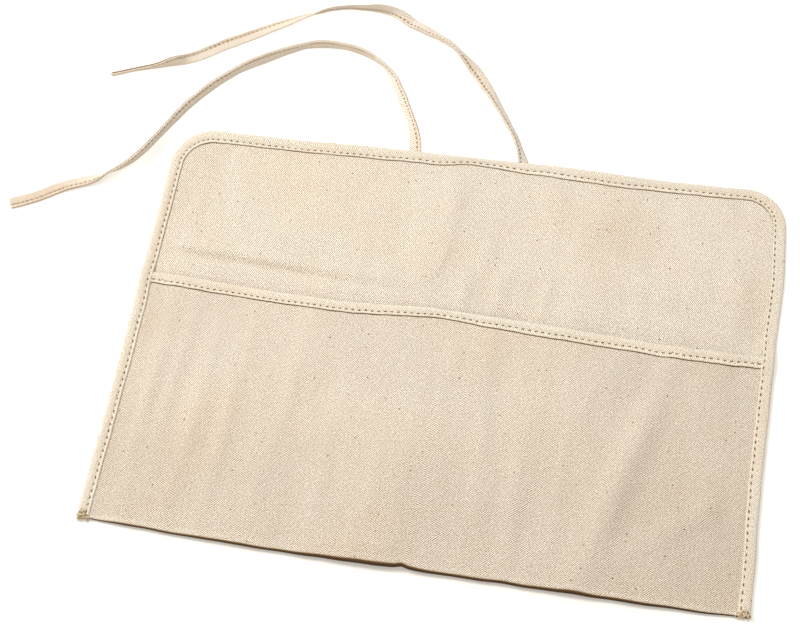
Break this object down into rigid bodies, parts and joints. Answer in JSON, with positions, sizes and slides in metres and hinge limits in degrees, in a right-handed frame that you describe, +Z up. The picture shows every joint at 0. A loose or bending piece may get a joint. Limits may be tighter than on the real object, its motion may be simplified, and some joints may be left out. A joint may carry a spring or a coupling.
{
  "type": "roll-up pouch",
  "caption": "Flat roll-up pouch of natural cotton drill: one wide pocket under a fold-over flap with rounded corners, bound edges and flat tie tapes sewn to its back.",
  "frame": {"origin": "on the table, at the middle of the cloth's outline, without the ties", "axes": "+X along the pouch's width and the flap's fold, +Y from the bottom fold to the flap's edge, +Z up off the table"},
  "size_m": [0.5398, 0.425, 0.0081],
  "materials": {
    "drill": "unbleached cotton drill, twill weave, matte",
    "binding_strip": "folded strip of the same drill, matte",
    "tie_tape": "folded and stitched cotton tape, matte",
    "sewing_thread": "cotton sewing thread, matte"
  },
  "bodies": {
    "pouch": {"back_panel": "drill", "bottom_fold": "drill", "pocket_front": "drill", "mouth_binding": "binding_strip", "left_binding": "binding_strip", "right_binding": "binding_strip", "tie_left": "tie_tape", "tie_right": "tie_tape", "tie_tack": "sewing_thread", "corner_tack_left": "sewing_thread", "corner_tack_right": "sewing_thread"},
    "flap": {"flap_panel": "drill", "flap_binding": "binding_strip"}
  },
  "joints": [
    {"name": "flap_fold", "type": "hinge", "parent": "pouch", "child": "flap", "pos_m": [0, 0.054, 0.0056], "axis": [1, 0, 0], "range_deg": [0, 180]}
  ]
}
